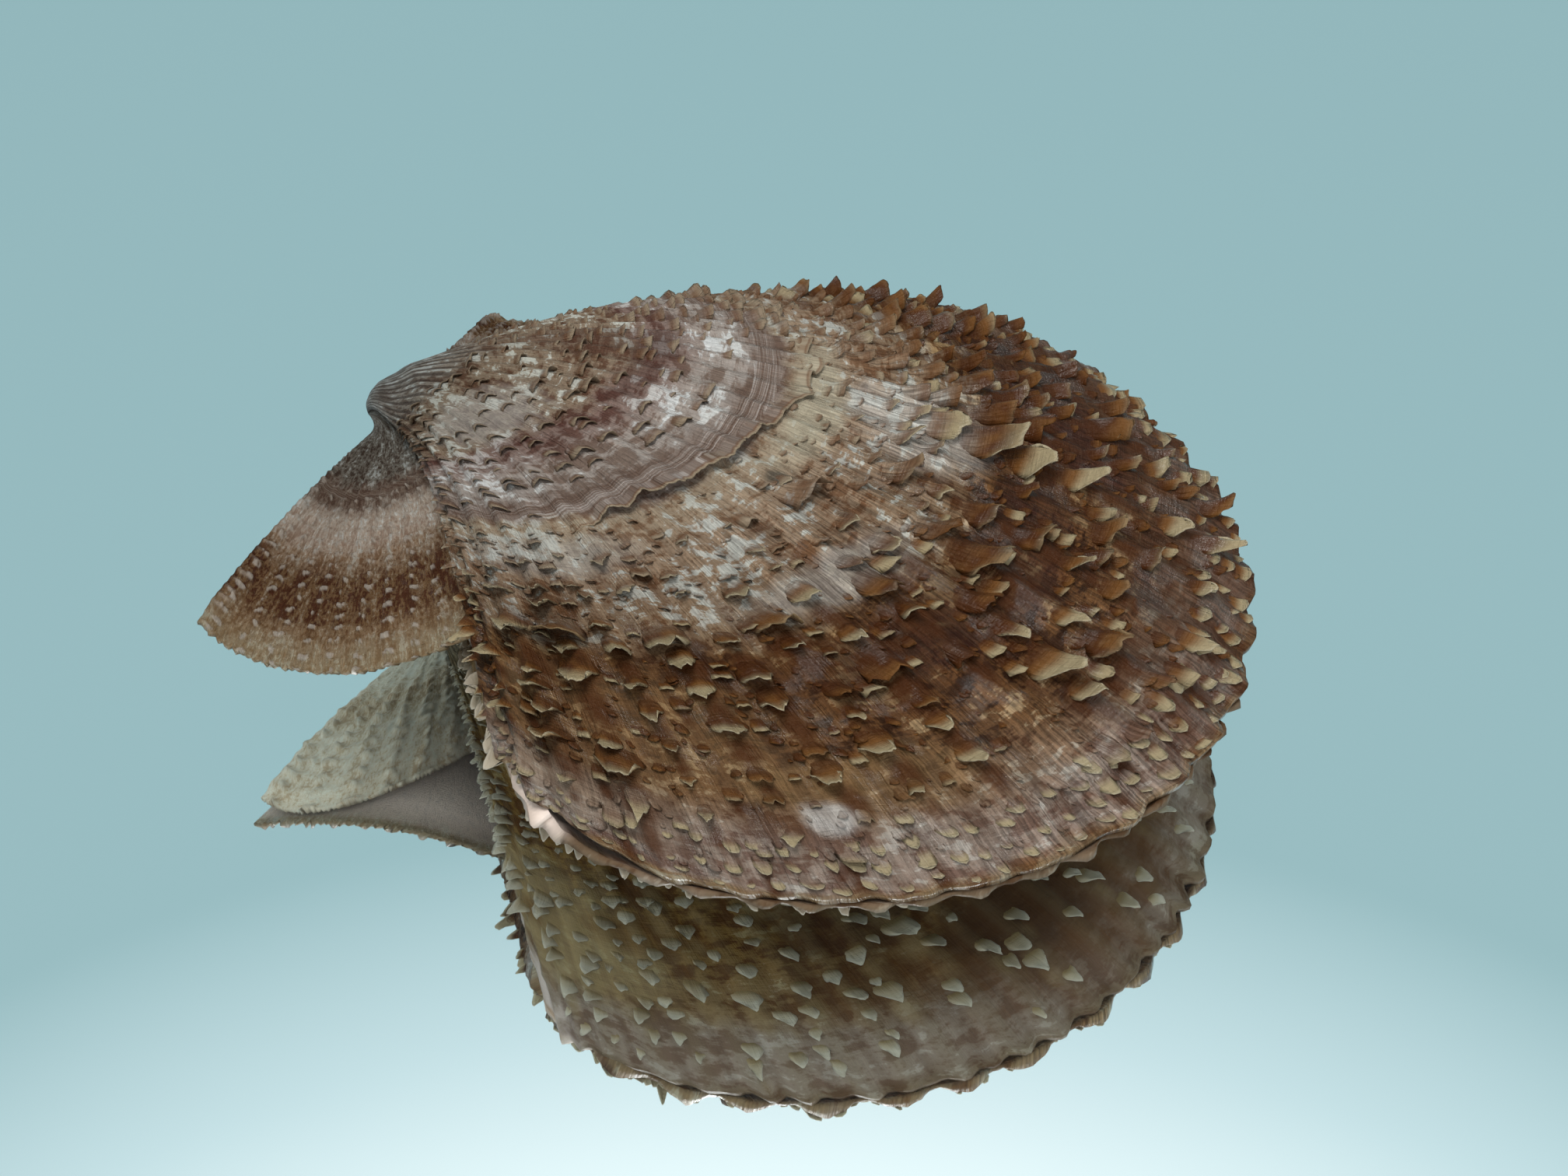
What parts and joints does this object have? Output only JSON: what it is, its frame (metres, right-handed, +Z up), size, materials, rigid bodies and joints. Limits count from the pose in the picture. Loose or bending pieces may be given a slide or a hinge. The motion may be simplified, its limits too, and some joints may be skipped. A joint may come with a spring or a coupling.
{
  "type": "scallop shell",
  "caption": "Closed scaly scallop shell: two fan-shaped ribbed valves with curled scales, unequal hinge ears and a thin ligament, lying on its flatter valve.",
  "frame": {"origin": "on the floor under the middle of the shell's bounding box", "axes": "+Z up through the left (upper) valve, +Y towards the hinge and the umbones, -Y towards the rounded ventral margin, -X towards the big anterior ears, +X towards the small posterior ears"},
  "size_m": [0.0652, 0.0724, 0.0241],
  "materials": {
    "mottled_valve": "glossy, wet",
    "pale_scaled_valve": "satin, wet",
    "ligament_horn": "satin"
  },
  "bodies": {
    "root": {"left_valve": "mottled_valve", "right_valve": "pale_scaled_valve", "hinge_ligament": "ligament_horn"}
  },
  "joints": []
}
